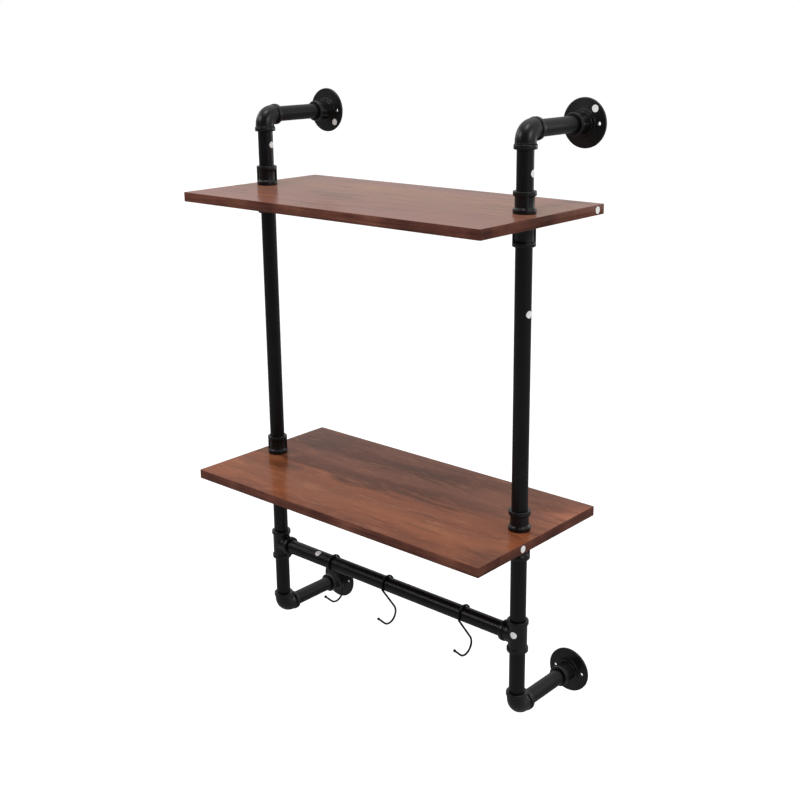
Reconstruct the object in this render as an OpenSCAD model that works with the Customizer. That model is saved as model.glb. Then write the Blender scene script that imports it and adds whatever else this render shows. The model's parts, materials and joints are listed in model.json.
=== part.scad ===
// Wall shelf of two boards on screwed pipe posts, with a pipe rail and S-hooks under the lower board.
// Millimetres. +X is to the right and +Y points into the wall, whose face is Y = 0. +Z is up.
// The origin lies on the wall, midway between the posts and midway between the flange heights.

/* [Boards] */
// Thickness of each board
board_t = 15; // [12:0.5:30]
// From a post's axis to the board's end
board_overhang = 37.5; // [25:0.5:150]
// From the posts' axes to the boards' front edge
board_front = 149; // [60:1:220]
// Clear height between the two boards
board_gap = 465; // [120:5:600]
// Thickness of the edging glued round each board
edge_band_t = 1; // [0.5:0.1:1.5]
// Rounding of the boards' upright corners
board_corner_r = 2; // [1.8:0.2:6]
// Room between a nipple and its hole in the board
post_hole_room = 0.5; // [0.3:0.1:2]

/* [Posts] */
// Between the two posts' axes
post_spacing = 535; // [300:5:900]
// From the wall to the posts' axes
post_reach = 149; // [90:1:260]
// From the upper board's top up to the upper arms' axes
arm_rise = 116; // [75:1:300]
// From the lower board's underside down to the rail's axis
rail_drop = 162; // [75:1:300]
// From the rail's axis down to the lower arms' axes
arm_drop = 124; // [65:1:300]

/* [Pipe] */
// Outer diameter of the pipe
pipe_d = 25; // [20:0.5:34]
// Wall of the pipe
pipe_wall = 2.8; // [1.5:0.1:4]
// Bevel on a pipe's cut ends
pipe_bevel = 0.8; // [0.3:0.1:1.2]
// Radial room between a pipe's end and its socket
thread_room = 0.1; // [0.05:0.01:0.2]
// From a pipe's end to the bottom of its socket
end_gap = 0.5; // [0.2:0.1:2]

/* [Fittings] */
// Wall of the bead at each mouth of a fitting
bead_wall = 4.4; // [4:0.1:8]
// Length of a bead
bead_len = 7; // [5:0.5:10]
// Rounding of a bead's edges
bead_round = 1.2; // [0.4:0.1:1.8]
// Length over which a bead runs out into the body
bead_taper = 2; // [0.5:0.1:3]
// Length of a coupling
coupling_len = 32; // [22:1:60]
// Wall of a coupling's waist
coupling_wall = 1.65; // [1.2:0.05:3.5]
// Wall of an elbow
elbow_wall = 2.9; // [1.5:0.1:3.9]
// Radius inside an elbow's crook
elbow_crook_r = 0.5; // [0.2:0.1:10]
// Straight socket at each end of an elbow
elbow_leg = 10.5; // [9:0.5:25]
// Wall of a tee
tee_wall = 2.4; // [1.5:0.1:3.9]
// Socket at each mouth of a tee, beyond its body
tee_leg = 11.5; // [9:0.5:25]

/* [Flanges] */
// Thickness of the plate against the wall
plate_t = 4; // [3:0.5:8]
// Rounding of the plate's front rim
plate_round = 1.2; // [0.4:0.1:2]
// From the wall to the face of the hub
hub_len = 34; // [22:1:50]
// Wall of the hub behind its bead
hub_wall = 3; // [1.5:0.1:3.9]
// How far the hub's foot stands out past the bead
foot_step = 3; // [0.5:0.1:5]
// Thickness of the hub's foot
foot_t = 3; // [1:0.5:6]
// From the foot's edge to the screw holes' axes
screw_inset = 6; // [4:0.5:12]
// From the screw holes' axes to the plate's rim
plate_rim = 11.25; // [7:0.25:20]
// Diameter of the screw holes
screw_hole_d = 6; // [4:0.5:7]
// How far an arm pipe is screwed into the hub
hub_thread = 16; // [8:1:18]

/* [Hooks] */
// Diameter of the hooks' wire
wire_d = 3.5; // [2:0.1:5]
// Room between the rail and a hook's upper curl
hook_room = 0.3; // [0.1:0.05:1]
// Radius of a hook's lower curl, at the wire's middle
bowl_r = 17; // [12:0.5:26]
// From the rail's axis down to the middle of the lower curl
bowl_drop = 57.5; // [50:0.5:120]
// From the rail's axis back to the middle of the lower curl, which lets the hook hang plumb
bowl_back = 2.6; // [0:0.1:6]
// Length of the straight lip beyond the lower curl
lip_len = 20; // [8:0.5:35]
// Slope of the lip above level, in degrees
lip_rise = 43; // [20:1:70]
// Swell of the wire where a curl runs into the straight
wire_swell = 0.03; // [0.02:0.01:0.1]
// Diameter of the ball on a hook's tip
tip_d = 5.2; // [4:0.1:9]
// Height of the upper curl's end above level, in degrees
curl_end_angle = 15; // [0:1:40]

/* [Paper dots] */
// Diameter of the paper dots
dot_d = 11; // [6:0.5:14]
// Thickness of a paper dot
dot_t = 0.25; // [0.1:0.05:0.5]
// Film of glue under a paper dot
dot_glue = 0.05; // [0.02:0.01:0.1]

/* [Hidden] */
$fn = 96;
overrun = 1; // how far a cutting shape runs past the face it cuts

sides = [-1, 1]; // left and right
left = -1;
right = 1;
function side_name(side) = side == left ? "left" : "right";

// Places of the hooks, and of the rail's dot, as shares of half the rail's clear length
hook_place_shares = [-0.548, -0.021, 0.668];
hook_names = ["hook_left", "hook_middle", "hook_right"];
dot_rail_share = -0.689;
// Heights of the dots as shares of the clear length of the pipe that they are on
dot_riser_shares = [0.61, 0.424];
dot_long_share = 0.757;
// Distances of the dots from the wall as shares of the boards' depth
dot_upper_board_share = 0.062;
dot_lower_board_share = 0.641;
// Height of the tee's dot above the rail's axis as a share of the dot
dot_tee_share = 0.49;
// Directions in which the dots face, in degrees
dot_riser_angles = [13, 12];
dot_long_angle = -6;
dot_tee_angle = -80;
dot_rail_angle = 60;
dot_plate_angles = [-45, 49];

pipe_r = pipe_d / 2;
passage_r = pipe_r - pipe_wall;
socket_r = pipe_r + thread_room;
bead_r = socket_r + bead_wall;
waist_r = socket_r + coupling_wall;
elbow_r = socket_r + elbow_wall;
tee_r = socket_r + tee_wall;
hub_r = socket_r + hub_wall;

elbow_bend_r = elbow_r + elbow_crook_r;
elbow_reach = elbow_bend_r + elbow_leg;
tee_reach = tee_r + tee_leg;
coupling_hold = coupling_len / 2 - end_gap;
elbow_hold = elbow_leg - end_gap;
tee_hold = tee_leg - end_gap;

foot_r = bead_r + foot_step;
screw_ring_r = foot_r + screw_inset;
plate_r = screw_ring_r + plate_rim;
dot_ring_r = (foot_r + plate_r) / 2;

post_x = post_spacing / 2;
post_y = -post_reach;
board_w = post_spacing + 2 * board_overhang;
board_d = post_reach + board_front;

arm_spacing = arm_rise + board_t + board_gap + board_t + rail_drop + arm_drop;
upper_arm_z = arm_spacing / 2;
upper_top_z = upper_arm_z - arm_rise;
upper_under_z = upper_top_z - board_t;
lower_top_z = upper_under_z - board_gap;
lower_under_z = lower_top_z - board_t;
rail_z = lower_under_z - rail_drop;
lower_arm_z = -upper_arm_z;
rail_half = post_x - tee_reach;

curl_r = pipe_r + hook_room + wire_d / 2;
// The wire leaves the upper curl and joins the lower one along their crossing tangent
bowl_distance = norm([bowl_back, bowl_drop]);
wire_slope = asin((curl_r + bowl_r) / bowl_distance) + atan2(bowl_back, bowl_drop);
wire_span = sqrt(pow(bowl_distance, 2) - pow(curl_r + bowl_r, 2));

board_names = ["upper_board", "lower_board"];
levels = ["upper", "lower"];

// Plate with rounded upright corners, its top face at Z = 0 and its back edge at Y = 0
module corner_rounded_plate(w, d, r, t) {
    translate([0, -d / 2, -t])
        linear_extrude(t) {
            square([w - 2 * r, d], center = true);
            square([w, d - 2 * r], center = true);
            for (x = [-1, 1], y = [-1, 1])
                translate([x * (w / 2 - r), y * (d / 2 - r)])
                    circle(r);
        }
}

// The board inside its edging, its top face at Z = 0
module board_core(thickness) {
    translate([0, -edge_band_t, 0])
        corner_rounded_plate(
            board_w - 2 * edge_band_t, board_d - 2 * edge_band_t, board_corner_r - edge_band_t, thickness);
}

module board(top_z) {
    color("#7b4b38")
        translate([0, 0, top_z])
            difference() {
                board_core(board_t);
                for (side = sides)
                    translate([side * post_x, post_y, -board_t - overrun])
                        cylinder(r = pipe_r + post_hole_room, h = board_t + 2 * overrun);
            }
}

module edge_band(top_z) {
    color("#5a3628")
        translate([0, 0, top_z])
            difference() {
                corner_rounded_plate(board_w, board_d, board_corner_r, board_t);
                translate([0, 0, overrun])
                    board_core(board_t + 2 * overrun);
            }
}

// Length of pipe standing on Z = 0, bevelled at both ends
module pipe(length) {
    color("#26272a")
        rotate_extrude()
            polygon([
                [passage_r, 0],
                [pipe_r - pipe_bevel, 0],
                [pipe_r, pipe_bevel],
                [pipe_r, length - pipe_bevel],
                [pipe_r - pipe_bevel, length],
                [passage_r, length]
            ]);
}

module upright_pipe(side, low_z, high_z) {
    translate([side * post_x, post_y, low_z])
        pipe(high_z - low_z);
}

// Section of a bead whose face lies on Y = 0, running out into a body of radius body_r
module bead_section(body_r) {
    flat_r = bead_r - bead_round;
    translate([socket_r, 0])
        square([flat_r - socket_r, bead_len]);
    translate([socket_r, bead_round])
        square([bead_r - socket_r, bead_len - 2 * bead_round]);
    for (y = [bead_round, bead_len - bead_round])
        translate([flat_r, y])
            circle(bead_round);
    polygon([[socket_r, bead_len], [flat_r, bead_len], [body_r, bead_len + bead_taper],
        [socket_r, bead_len + bead_taper]]);
}

// Straight socket with a bead at its mouth on Z = 0, length long
module socket(body_r, length) {
    rotate_extrude() {
        bead_section(body_r);
        translate([socket_r, bead_len])
            square([body_r - socket_r, length - bead_len]);
    }
}

// Coupling standing on Z = 0
module coupling() {
    color("#1c1d1f")
        rotate_extrude() {
            bead_section(waist_r);
            translate([0, coupling_len])
                mirror([0, 1])
                    bead_section(waist_r);
            translate([socket_r, bead_len])
                square([waist_r - socket_r, coupling_len - 2 * bead_len]);
        }
}

module coupling_above(side, board_top_z) {
    translate([side * post_x, post_y, board_top_z])
        coupling();
}

module coupling_below(side, board_under_z) {
    translate([side * post_x, post_y, board_under_z - coupling_len])
        coupling();
}

// Nipple through a board's post hole, screwed into the couplings above and below
module nipple(side, board_top_z) {
    upright_pipe(side, board_top_z - board_t - coupling_hold, board_top_z + coupling_hold);
}

// Quarter bend from the leg pointing down to the leg pointing at the wall
module quarter_bend() {
    translate([0, elbow_bend_r, -elbow_bend_r])
        rotate([90, 0, -90])
            rotate_extrude(angle = 90)
                translate([elbow_bend_r, 0])
                    difference() {
                        circle(elbow_r);
                        circle(passage_r);
                    }
}

// Elbow round its own centre, with one mouth down and one toward the wall
module elbow() {
    color("#1f2022") {
        quarter_bend();
        translate([0, 0, -elbow_reach])
            socket(elbow_r, elbow_leg);
        translate([0, elbow_reach, 0])
            rotate([90, 0, 0])
                socket(elbow_r, elbow_leg);
    }
}

module upper_elbow(side) {
    translate([side * post_x, post_y, upper_arm_z])
        elbow();
}

module lower_elbow(side) {
    translate([side * post_x, post_y, lower_arm_z])
        mirror([0, 0, 1])
            elbow();
}

// One mouth of a tee: its bead and its body's skin, with the face at Z = -tee_reach
module tee_mouth() {
    translate([0, 0, -tee_reach])
        rotate_extrude() {
            bead_section(tee_r);
            translate([socket_r, bead_len])
                square([tee_r - socket_r, tee_leg - bead_len]);
        }
}

// Tee round its own centre, with its run upright and its third mouth toward -X
module tee_body() {
    for (turn = [0, 90, 180])
        rotate([0, turn, 0])
            tee_mouth();
    difference() {
        union() {
            cylinder(r = tee_r, h = 2 * tee_r, center = true);
            rotate([0, -90, 0])
                cylinder(r = tee_r, h = tee_r);
        }
        cylinder(r = passage_r, h = 2 * tee_reach, center = true);
        rotate([0, -90, 0])
            cylinder(r = passage_r, h = tee_reach);
    }
}

module tee(side) {
    color("#1f2022")
        translate([side * post_x, post_y, rail_z])
            rotate([0, 0, side == right ? 0 : 180])
                tee_body();
}

// Wall flange on Z = 0, its hub pointing up
module flange_body() {
    difference() {
        rotate_extrude() {
            translate([socket_r, 0])
                square([plate_r - plate_round - socket_r, plate_t]);
            translate([socket_r, 0])
                square([plate_r - socket_r, plate_t - plate_round]);
            translate([plate_r - plate_round, plate_t - plate_round])
                circle(plate_round);
            translate([socket_r, plate_t])
                square([foot_r - socket_r, foot_t]);
            translate([socket_r, plate_t])
                square([hub_r - socket_r, hub_len - plate_t - bead_len]);
            translate([0, hub_len])
                mirror([0, 1])
                    bead_section(hub_r);
        }
        for (x = [-screw_ring_r, screw_ring_r])
            translate([x, 0, -overrun])
                cylinder(d = screw_hole_d, h = plate_t + 2 * overrun);
    }
}

module flange(side, arm_z) {
    color("#1c1d1f")
        translate([side * post_x, 0, arm_z])
            rotate([90, 0, 0])
                flange_body();
}

module arm(side, arm_z) {
    start = hub_len - hub_thread;
    finish = post_reach - elbow_reach + elbow_hold;
    translate([side * post_x, -start, arm_z])
        rotate([90, 0, 0])
            pipe(finish - start);
}

module riser(side) {
    upright_pipe(side, upper_top_z + coupling_len - coupling_hold, upper_arm_z - elbow_reach + elbow_hold);
}

module long_pipe(side) {
    upright_pipe(side, lower_top_z + coupling_len - coupling_hold, upper_under_z - coupling_len + coupling_hold);
}

module short_pipe(side) {
    upright_pipe(side, rail_z + tee_reach - tee_hold, lower_under_z - coupling_len + coupling_hold);
}

module drop_pipe(side) {
    upright_pipe(side, lower_arm_z + elbow_reach - elbow_hold, rail_z - tee_reach + tee_hold);
}

module towel_bar() {
    length = 2 * (rail_half + tee_hold);
    translate([-length / 2, post_y, rail_z])
        rotate([0, 90, 0])
            pipe(length);
}

// Rounded end of a wire, on Z = 0
module wire_end() {
    rotate_extrude()
        intersection() {
            circle(d = wire_d);
            square(wire_d / 2);
        }
}

// Arc of wire in the XY plane round the origin
module wire_arc(r, from_angle, to_angle) {
    rotate([0, 0, from_angle])
        rotate_extrude(angle = to_angle - from_angle)
            translate([r, 0])
                circle(d = wire_d);
}

module wire_joint() {
    sphere(d = wire_d + 2 * wire_swell);
}

// Straight lip from the lower curl's end at the origin toward -Y, with a ball on its tip
module lip() {
    wire_joint();
    rotate([90, 0, 0])
        cylinder(d = wire_d, h = lip_len);
    translate([0, -lip_len, 0])
        sphere(d = tip_d);
}

// S-hook drawn flat round the rail's axis, with the wall toward +X
module flat_hook() {
    wire_arc(curl_r, curl_end_angle, 180 + wire_slope);
    rotate([0, 0, curl_end_angle])
        translate([curl_r, 0, 0])
            rotate([90, 0, 0])
                wire_end();
    rotate([0, 0, 180 + wire_slope])
        translate([curl_r, 0, 0]) {
            wire_joint();
            rotate([-90, 0, 0])
                cylinder(d = wire_d, h = wire_span);
            translate([0, wire_span, 0])
                wire_joint();
        }
    translate([bowl_back, -bowl_drop, 0]) {
        wire_arc(bowl_r, -90 - lip_rise, wire_slope);
        rotate([0, 0, -90 - lip_rise])
            translate([bowl_r, 0, 0])
                lip();
    }
}

module hook(place_share) {
    color("#141415")
        translate([place_share * rail_half, post_y, rail_z])
            rotate([90, 0, 90])
                flat_hook();
}

// Flat paper dot on Z = 0, facing up
module flat_dot() {
    translate([0, 0, dot_glue])
        cylinder(d = dot_d, h = dot_t);
}

// Paper dot bent round an upright pipe of radius r, facing +X
module bent_dot(r) {
    under_r = r + dot_glue;
    outer_r = under_r + dot_t;
    intersection() {
        difference() {
            cylinder(r = outer_r, h = dot_d + overrun, center = true);
            cylinder(r = under_r, h = dot_d + 2 * overrun, center = true);
        }
        rotate([0, 90, 0])
            cylinder(d = dot_d, h = outer_r + overrun);
    }
}

module post_dot(side, height_z, angle) {
    translate([side * post_x, post_y, height_z])
        rotate([0, 0, angle])
            bent_dot(pipe_r);
}

module riser_dot(side, place) {
    low_z = upper_top_z + coupling_len;
    high_z = upper_arm_z - elbow_reach;
    post_dot(side, low_z + dot_riser_shares[place] * (high_z - low_z), dot_riser_angles[place]);
}

module long_pipe_dot() {
    low_z = lower_top_z + coupling_len;
    high_z = upper_under_z - coupling_len;
    post_dot(right, low_z + dot_long_share * (high_z - low_z), dot_long_angle);
}

module rail_dot() {
    translate([dot_rail_share * rail_half, post_y, rail_z])
        rotate([270 - dot_rail_angle, 0, 0])
            rotate([0, 90, 0])
                bent_dot(pipe_r);
}

module tee_dot() {
    translate([post_x, post_y, rail_z])
        difference() {
            translate([0, 0, dot_tee_share * dot_d])
                rotate([0, 0, dot_tee_angle])
                    bent_dot(tee_r);
            rotate([0, -90, 0])
                cylinder(r = tee_r + dot_glue, h = tee_reach);
        }
}

module plate_dot(side, angle) {
    translate([side * post_x, -plate_t, upper_arm_z])
        rotate([90, 0, 0])
            rotate([0, 0, angle])
                translate([dot_ring_r, 0, 0])
                    flat_dot();
}

module board_end_dot(depth_share, top_z) {
    translate([board_w / 2, -depth_share * board_d, top_z - board_t / 2])
        rotate([0, 90, 0])
            flat_dot();
}

module part_labels() {
    color("#f4f3ef") {
        for (place = [0, 1]) {
            riser_dot(sides[place], place);
            plate_dot(sides[place], dot_plate_angles[place]);
        }
        long_pipe_dot();
        rail_dot();
        tee_dot();
        board_end_dot(dot_upper_board_share, upper_top_z);
        board_end_dot(dot_lower_board_share, lower_top_z);
    }
}

board(upper_top_z);  // upper_board
board(lower_top_z);  // lower_board
edge_band(upper_top_z);  // upper_edge_band
edge_band(lower_top_z);  // lower_edge_band
towel_bar();
part_labels();
for (place = [0 : len(hook_names) - 1])
    hook(hook_place_shares[place]);
for (side = sides) {
    name = side_name(side);
    riser(side);
    long_pipe(side);
    short_pipe(side);
    tee(side);
    drop_pipe(side);
    upper_elbow(side);
    lower_elbow(side);
    for (level = levels) {
        part = str(level, "_", name, "_");
        top_z = level == "upper" ? upper_top_z : lower_top_z;
        arm_z = level == "upper" ? upper_arm_z : lower_arm_z;
        flange(side, arm_z);
        arm(side, arm_z);
        nipple(side, top_z);
        coupling_above(side, top_z);
        coupling_below(side, top_z - board_t);
    }
}
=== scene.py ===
"""Looks of a wall shelf: two walnut-print boards on black screwed pipe, a pipe rail and three wire hooks.

Lengths are millimetres, as on the drawing, where no word says metres. Blender works in metres.
+X is to the right, +Y points into the wall, whose face is Y = 0, and +Z is up.
"""

import json
import logging
import math
from dataclasses import dataclass, field
from enum import Enum
from typing import Any, Callable, Sequence

import bmesh
import bpy
from mathutils import Matrix, Vector

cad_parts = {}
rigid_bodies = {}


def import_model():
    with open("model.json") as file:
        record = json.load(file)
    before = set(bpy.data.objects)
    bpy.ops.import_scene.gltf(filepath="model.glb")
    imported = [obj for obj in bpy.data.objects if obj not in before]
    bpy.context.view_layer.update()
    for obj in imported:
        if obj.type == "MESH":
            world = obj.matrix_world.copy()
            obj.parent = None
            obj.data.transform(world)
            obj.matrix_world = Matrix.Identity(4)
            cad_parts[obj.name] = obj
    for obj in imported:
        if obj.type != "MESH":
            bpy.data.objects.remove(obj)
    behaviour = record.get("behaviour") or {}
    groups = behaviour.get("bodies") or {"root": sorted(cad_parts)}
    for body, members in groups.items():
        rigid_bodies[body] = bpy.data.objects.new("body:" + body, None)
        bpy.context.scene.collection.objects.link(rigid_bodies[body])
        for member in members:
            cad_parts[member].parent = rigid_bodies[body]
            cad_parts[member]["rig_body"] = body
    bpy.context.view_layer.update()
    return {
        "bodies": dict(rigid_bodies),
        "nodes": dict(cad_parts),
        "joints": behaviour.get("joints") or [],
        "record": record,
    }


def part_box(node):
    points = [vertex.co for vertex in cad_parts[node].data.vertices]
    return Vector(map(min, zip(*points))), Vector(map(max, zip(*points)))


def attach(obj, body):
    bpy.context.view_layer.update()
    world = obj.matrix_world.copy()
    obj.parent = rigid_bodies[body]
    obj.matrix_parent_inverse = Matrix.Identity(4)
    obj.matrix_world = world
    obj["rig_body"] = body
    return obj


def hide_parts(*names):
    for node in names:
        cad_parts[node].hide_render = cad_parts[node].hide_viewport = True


Piece = bpy.types.Object
Tree = bpy.types.NodeTree
Socket = bpy.types.NodeSocket
Point = tuple[float, float]
Spot = tuple[float, float, float]
Stops = Sequence[tuple[float, str]]
EdgeTest = Callable[[Vector, Vector], bool]

MM = 0.001  # a millimetre in metres
log = logging.getLogger("pipe_shelf")

SIDES = 72  # faces round a turned piece
CREASE = 32.0  # degrees at an edge, above which it stays sharp
LAP = 1.0  # how far a solid goes into the one that it joins, or past the one that it cuts
NEAR = 0.1  # how far from a line a point may lie and still count as on it
SPECK = 0.002  # how close two points of a mesh may lie before they are merged

X_AXIS = Vector((1, 0, 0))
Y_AXIS = Vector((0, 1, 0))
Z_AXIS = Vector((0, 0, 1))
ORIGIN = Vector((0, 0, 0))


class Named(Enum):
    """A choice that is part of a node's name."""

    @property
    def label(self) -> str:
        """Its word in the nodes' names."""
        return self.name.lower()


class Side(Named):
    """The two posts."""

    LEFT = -1
    RIGHT = 1


class Level(Named):
    """The two boards, and the pairs of wall flanges."""

    UPPER = 1
    LOWER = -1


class Cut(Enum):
    """What a boolean modifier does with its second solid."""

    AWAY = "DIFFERENCE"
    JOIN = "UNION"


# Bench tools: everything that all the pieces share


def put_down_tools() -> None:
    """Leaves edit mode and deselects everything."""
    if bpy.context.object and bpy.context.object.mode != "OBJECT":
        bpy.ops.object.mode_set(mode="OBJECT")
    bpy.ops.object.select_all(action="DESELECT")


def pick_up(piece: Piece) -> None:
    """Makes one object the selected and active one.

    Args:
        piece: the object to work on.
    """
    put_down_tools()
    piece.select_set(True)
    bpy.context.view_layer.objects.active = piece


def soften_edges(piece: Piece, wanted: EdgeTest, radius: float, steps: int) -> None:
    """Rounds the edges that a test picks.

    Args:
        piece: the object to work on.
        wanted: says of an edge's two ends, in metres, whether it is rounded.
        radius: the rounding's radius.
        steps: faces across the rounding.
    """
    pick_up(piece)
    bpy.ops.object.mode_set(mode="EDIT")
    bpy.ops.mesh.select_mode(type="EDGE")
    bpy.ops.mesh.select_all(action="DESELECT")
    mesh = bmesh.from_edit_mesh(piece.data)
    chosen = [edge for edge in mesh.edges if wanted(edge.verts[0].co, edge.verts[1].co)]
    for edge in chosen:
        edge.select_set(True)
    mesh.select_flush_mode()
    bmesh.update_edit_mesh(piece.data)
    bpy.ops.mesh.bevel(offset=radius * MM, segments=steps, affect="EDGES")
    bpy.ops.object.mode_set(mode="OBJECT")


def finish_mesh(piece: Piece) -> Piece:
    """Merges doubles, turns faces outwards and smooths all but the creases.

    Args:
        piece: a closed mesh.

    Returns:
        The same object.
    """
    pick_up(piece)
    bpy.ops.object.mode_set(mode="EDIT")
    bpy.ops.mesh.select_all(action="SELECT")
    bpy.ops.mesh.remove_doubles(threshold=SPECK * MM)
    bpy.ops.mesh.normals_make_consistent(inside=False)
    bpy.ops.object.mode_set(mode="OBJECT")
    bpy.ops.object.shade_smooth_by_angle(angle=math.radians(CREASE))
    return piece


def carve(piece: Piece, other: Piece, cut: Cut) -> None:
    """Cuts a solid with another one, or joins the two, and throws the second away.

    Args:
        piece: the solid that stays.
        other: the solid that is used up.
        cut: what is done.
    """
    modifier = piece.modifiers.new("carve", "BOOLEAN")
    modifier.operation = cut.value
    modifier.solver = "EXACT"
    modifier.object = other
    pick_up(piece)
    bpy.ops.object.modifier_apply(modifier=modifier.name)
    bpy.data.objects.remove(other)


def block(name: str, middle: Vector, size: Vector) -> Piece:
    """A block to shape further.

    Args:
        name: the new object's name.
        middle: its middle.
        size: its size.

    Returns:
        The new object, at the origin, with its place in its mesh.
    """
    put_down_tools()
    bpy.ops.mesh.primitive_cube_add(size=1, location=middle * MM, scale=size * MM)
    piece = bpy.context.object
    piece.name = name
    bpy.ops.object.transform_apply(location=True, rotation=True, scale=True)
    return piece


def arc(centre: Point, radius: float, start: float, end: float, steps: int = 4) -> list[Point]:
    """Points of a rounding in a turned piece's section.

    Args:
        centre: the rounding's middle, as (radius, height) in millimetres.
        radius: the rounding's own radius.
        start: angle of the first point in degrees, 0 outwards and 90 along the axis.
        end: angle of the last point.
        steps: the number of faces across.

    Returns:
        The points as (radius, height).
    """
    points = []
    for step in range(steps + 1):
        angle = math.radians(start + (end - start) * step / steps)
        points.append((centre[0] + radius * math.cos(angle), centre[1] + radius * math.sin(angle)))
    return points


def flipped(section: Sequence[Point], length: float) -> list[Point]:
    """A mouth's section as it is met from the piece's other end.

    Args:
        section: points as (radius, height) in millimetres.
        length: the height of the mouth's face from that end.

    Returns:
        The points in the other order.
    """
    return [(radius, length - height) for radius, height in reversed(section)]


class RingWalk:
    """A ring of edges that is extruded, resized and spun until it has drawn a piece."""

    def __init__(
        self, name: str, start: Vector, heading: Vector, radius: float, sides: int = SIDES
    ) -> None:
        """Adds the first ring.

        Args:
            name: the new object's name.
            start: the ring's centre.
            heading: the way that it will go.
            radius: its radius.
            sides: its number of edges.
        """
        put_down_tools()
        self.heading = heading.normalized()
        self.centre = start.copy()
        self.radius = radius
        self.first = (start.copy(), radius)
        turn = self.heading.to_track_quat("Z", "Y").to_euler()
        bpy.ops.mesh.primitive_circle_add(
            vertices=sides, radius=radius * MM, location=start * MM, rotation=turn
        )
        self.piece = bpy.context.object
        self.piece.name = name
        self.piece.data.name = name
        bpy.ops.object.transform_apply(location=True, rotation=True, scale=True)
        bpy.ops.object.mode_set(mode="EDIT")
        bpy.ops.mesh.select_mode(type="VERT")
        bpy.ops.mesh.select_all(action="SELECT")

    def step(self, radius: float, advance: float = 0.0) -> "RingWalk":
        """Extrudes the ring to a new radius.

        Args:
            radius: the new radius.
            advance: how far it moves along its heading.

        Returns:
            The walk, so that steps can be chained.
        """
        move = self.heading * advance
        bpy.ops.mesh.extrude_region_move(TRANSFORM_OT_translate={"value": move * MM})
        self.centre += move
        ratio = radius / self.radius
        if abs(ratio - 1) > 1e-7:
            bpy.ops.transform.resize(value=(ratio, ratio, ratio), center_override=self.centre * MM)
        self.radius = radius
        return self

    def follow(self, section: Sequence[Point], base: float = 0.0) -> "RingWalk":
        """Steps through the points of a section.

        Args:
            section: points as (radius, height) in millimetres.
            base: the height that the ring is at now.

        Returns:
            The walk.
        """
        height = base
        for radius, next_height in section:
            self.step(radius, next_height - height)
            height = next_height
        return self

    def bend(self, degrees: float, pivot: Vector, axis: Vector, steps: int) -> "RingWalk":
        """Spins the ring round a point.

        Args:
            degrees: how far it turns.
            pivot: the middle of the bend.
            axis: the line that it turns round.
            steps: the number of rings that the bend takes.

        Returns:
            The walk.
        """
        # The spin operator turns the other way round its axis than a rotation matrix does
        bpy.ops.mesh.spin(steps=steps, angle=math.radians(-degrees), center=pivot * MM, axis=axis)
        turn = Matrix.Rotation(math.radians(degrees), 3, axis)
        self.centre = pivot + turn @ (self.centre - pivot)
        self.heading = turn @ self.heading
        return self

    def cap(self) -> "RingWalk":
        """Closes the ring at its own middle.

        Returns:
            The walk.
        """
        bpy.ops.mesh.extrude_region_move(TRANSFORM_OT_translate={"value": (0, 0, 0)})
        bpy.ops.mesh.merge(type="CENTER")
        return self

    def close(self) -> "RingWalk":
        """Brings the ring back onto the first one, so that the section is closed, and returns the walk."""
        centre, radius = self.first
        return self.step(radius, (centre - self.centre).dot(self.heading))

    def done(self) -> Piece:
        """Merges the last ring with the first, or fills what is open, and puts the piece down.

        Returns:
            The finished object, at the origin.
        """
        bpy.ops.mesh.select_all(action="SELECT")
        bpy.ops.mesh.remove_doubles(threshold=2 * SPECK * MM)
        bpy.ops.mesh.select_all(action="DESELECT")
        bpy.ops.mesh.select_non_manifold(extend=False)
        if any(vert.select for vert in bmesh.from_edit_mesh(self.piece.data).verts):
            bpy.ops.mesh.edge_face_add()
        bpy.ops.object.mode_set(mode="OBJECT")
        return finish_mesh(self.piece)


def turned(name: str, section: Sequence[Point], sides: int = SIDES) -> Piece:
    """Turns a closed section round Z.

    Args:
        name: the new object's name.
        section: the section's points as (radius, height) in millimetres, in order round it.
        sides: the number of faces round the piece.

    Returns:
        The finished object.
    """
    radius, height = section[0]
    walk = RingWalk(name, Z_AXIS * height, Z_AXIS, radius, sides)
    return walk.follow(section[1:], height).close().done()


def rod(start: Vector, heading: Vector, radius: float, length: float, sides: int = SIDES) -> Piece:
    """A plain solid round bar, used up by a cut.

    Args:
        start: the middle of its first end.
        heading: the way that it points.
        radius: its radius.
        length: its length.
        sides: the number of faces round it.

    Returns:
        The finished object.
    """
    return RingWalk("cutting_rod", start, heading, radius, sides).step(radius, length).cap().done()


def copy_of(master: Piece, name: str, spot: Vector, degrees: float = 0.0, axis: str = "Z") -> Piece:
    """A copy with its own mesh, put in its place in the mesh.

    Args:
        master: the piece that is copied.
        name: the copy's name.
        spot: where the piece's own origin goes.
        degrees: how far it is turned first.
        axis: the axis that it is turned round.

    Returns:
        The new object, at the origin.
    """
    piece = bpy.data.objects.new(name, master.data.copy())
    piece.data.name = name
    piece.data.transform(Matrix.Translation(spot * MM) @ Matrix.Rotation(math.radians(degrees), 4, axis))
    bpy.context.scene.collection.objects.link(piece)
    return piece


# Finishes: one class for each real material


def linear(shade: str) -> tuple[float, float, float, float]:
    """Turns an sRGB hex colour into the linear one that the shaders take.

    Args:
        shade: a colour such as #a0b1c2.

    Returns:
        Red, green, blue and an opacity of 1.
    """
    parts = [int(shade[place : place + 2], 16) / 255 for place in (1, 3, 5)]
    bent = [part / 12.92 if part <= 0.04045 else ((part + 0.055) / 1.055) ** 2.4 for part in parts]
    return (bent[0], bent[1], bent[2], 1.0)


def bare_tree(owner: bpy.types.Material | bpy.types.World) -> Tree:
    """Gives a material or a world an empty node tree.

    Args:
        owner: the new material or world.

    Returns:
        Its tree.
    """
    owner.use_nodes = True
    owner.node_tree.nodes.clear()
    return owner.node_tree


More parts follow.
